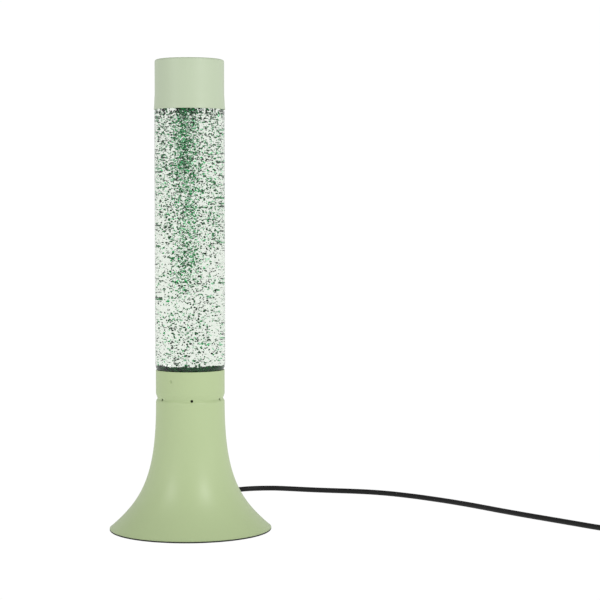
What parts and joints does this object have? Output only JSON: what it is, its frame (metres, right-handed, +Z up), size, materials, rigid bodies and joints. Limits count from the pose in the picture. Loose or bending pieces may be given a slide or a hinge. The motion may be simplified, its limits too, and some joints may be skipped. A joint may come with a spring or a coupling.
{
  "type": "glitter lamp",
  "caption": "Table lamp with a trumpet-shaped metal base, a straight liquid-filled glass column of drifting glitter, a matching cap, and a corded switch and plug.",
  "frame": {"origin": "centre of the foot ring, on the table", "axes": "+Z up along the glass column, +Y towards the back where the cord leaves, +X to the right seen from the front"},
  "size_m": [0.56, 0.2819, 0.3972],
  "materials": {
    "base_paint": "matt sage green powder coat on spun aluminium",
    "cap_paint": "matt sage green powder coat, a little paler and cooler",
    "foot_rubber": "matt black rubber",
    "cover_plastic": "black moulded nylon",
    "zinc_steel": "bright zinc-plated steel",
    "silicone": "translucent white silicone",
    "holder_plastic": "cream heat-resistant thermoset",
    "brass": "bare brass",
    "nylon": "natural white nylon",
    "core_brown": "brown core insulation",
    "core_blue": "blue core insulation",
    "cord_pvc": "satin black PVC cord jacket",
    "tie_plastic": "black plastic tie",
    "plug_plastic": "fine-textured black moulding",
    "pin_metal": "nickel-plated brass",
    "sleeve_plastic": "black sleeve on each pin",
    "rocker_plastic": "glossy black rocker",
    "bulb_glass": "clear glass with a silvered reflector",
    "bulb_cap_metal": "plain aluminium screw cap",
    "bulb_insulator": "black glass insulator",
    "tin": "solder blob",
    "tungsten": "coiled tungsten wire on steel posts",
    "bottle_glass": "clear polished glass",
    "liquid": "clear liquid",
    "glitter": "metallised green film flakes",
    "closure_metal": "tinplate closure"
  },
  "bodies": {
    "base": {"base_shell": "base_paint", "foot_ring": "foot_rubber", "cover_posts": "zinc_steel", "bottom_cover": "cover_plastic", "cover_screws": "zinc_steel", "seat_ring": "silicone", "holder_bracket": "zinc_steel", "bracket_screws": "zinc_steel", "holder_nipple": "zinc_steel", "nipple_nut": "zinc_steel", "lampholder_body": "holder_plastic", "holder_sleeve": "brass", "holder_centre_contact": "brass", "cord_gland": "cord_pvc", "cord_clamp": "cover_plastic", "clamp_screws": "zinc_steel", "terminal_block": "nylon", "terminal_inserts": "brass", "terminal_screws": "zinc_steel", "lead_live": "core_brown", "lead_neutral": "core_blue", "cord_cores": "core_brown", "inner_cord": "cord_pvc", "cord_run": "cord_pvc", "cord_to_coil": "cord_pvc", "cord_coil": "cord_pvc", "cord_to_plug": "cord_pvc", "cord_tie": "tie_plastic", "plug_body": "plug_plastic", "plug_pins": "pin_metal", "pin_sleeves": "sleeve_plastic", "switch_base": "plug_plastic", "switch_cover": "plug_plastic", "rocker_pin": "zinc_steel", "switch_terminals": "brass", "switch_terminal_screws": "zinc_steel", "switch_screws": "zinc_steel"},
    "rocker": {"switch_rocker": "rocker_plastic", "rocker_contact": "brass"},
    "bulb": {"bulb_glass": "bulb_glass", "bulb_cap": "bulb_cap_metal", "bulb_insulator": "bulb_insulator", "bulb_tip_contact": "tin", "bulb_stem": "bulb_glass", "bulb_filament": "tungsten"},
    "bottle": {"glass_bottle": "bottle_glass", "fluid": "liquid", "glitter_flakes": "glitter", "bottle_closure": "closure_metal", "closure_seal": "silicone"},
    "top_cap": {"top_cap": "cap_paint", "cap_insert": "nylon"}
  },
  "joints": [
    {"name": "bottle_lift", "type": "slide", "parent": "base", "child": "bottle", "axis": [0, 0, 1], "range_m": [0, 0.04]},
    {"name": "cap_lift", "type": "slide", "parent": "bottle", "child": "top_cap", "axis": [0, 0, 1], "range_m": [0, 0.06]},
    {"name": "bulb_turn", "type": "hinge", "parent": "base", "child": "bulb", "pos_m": [0, 0, 0.07], "axis": [0, 0, 1], "range_deg": [0, 1260]},
    {"name": "rocker_tilt", "type": "hinge", "parent": "base", "child": "rocker", "pos_m": [0.42, -0.027, 0.011], "axis": [0, 1, 0], "range_deg": [0, 16]}
  ]
}
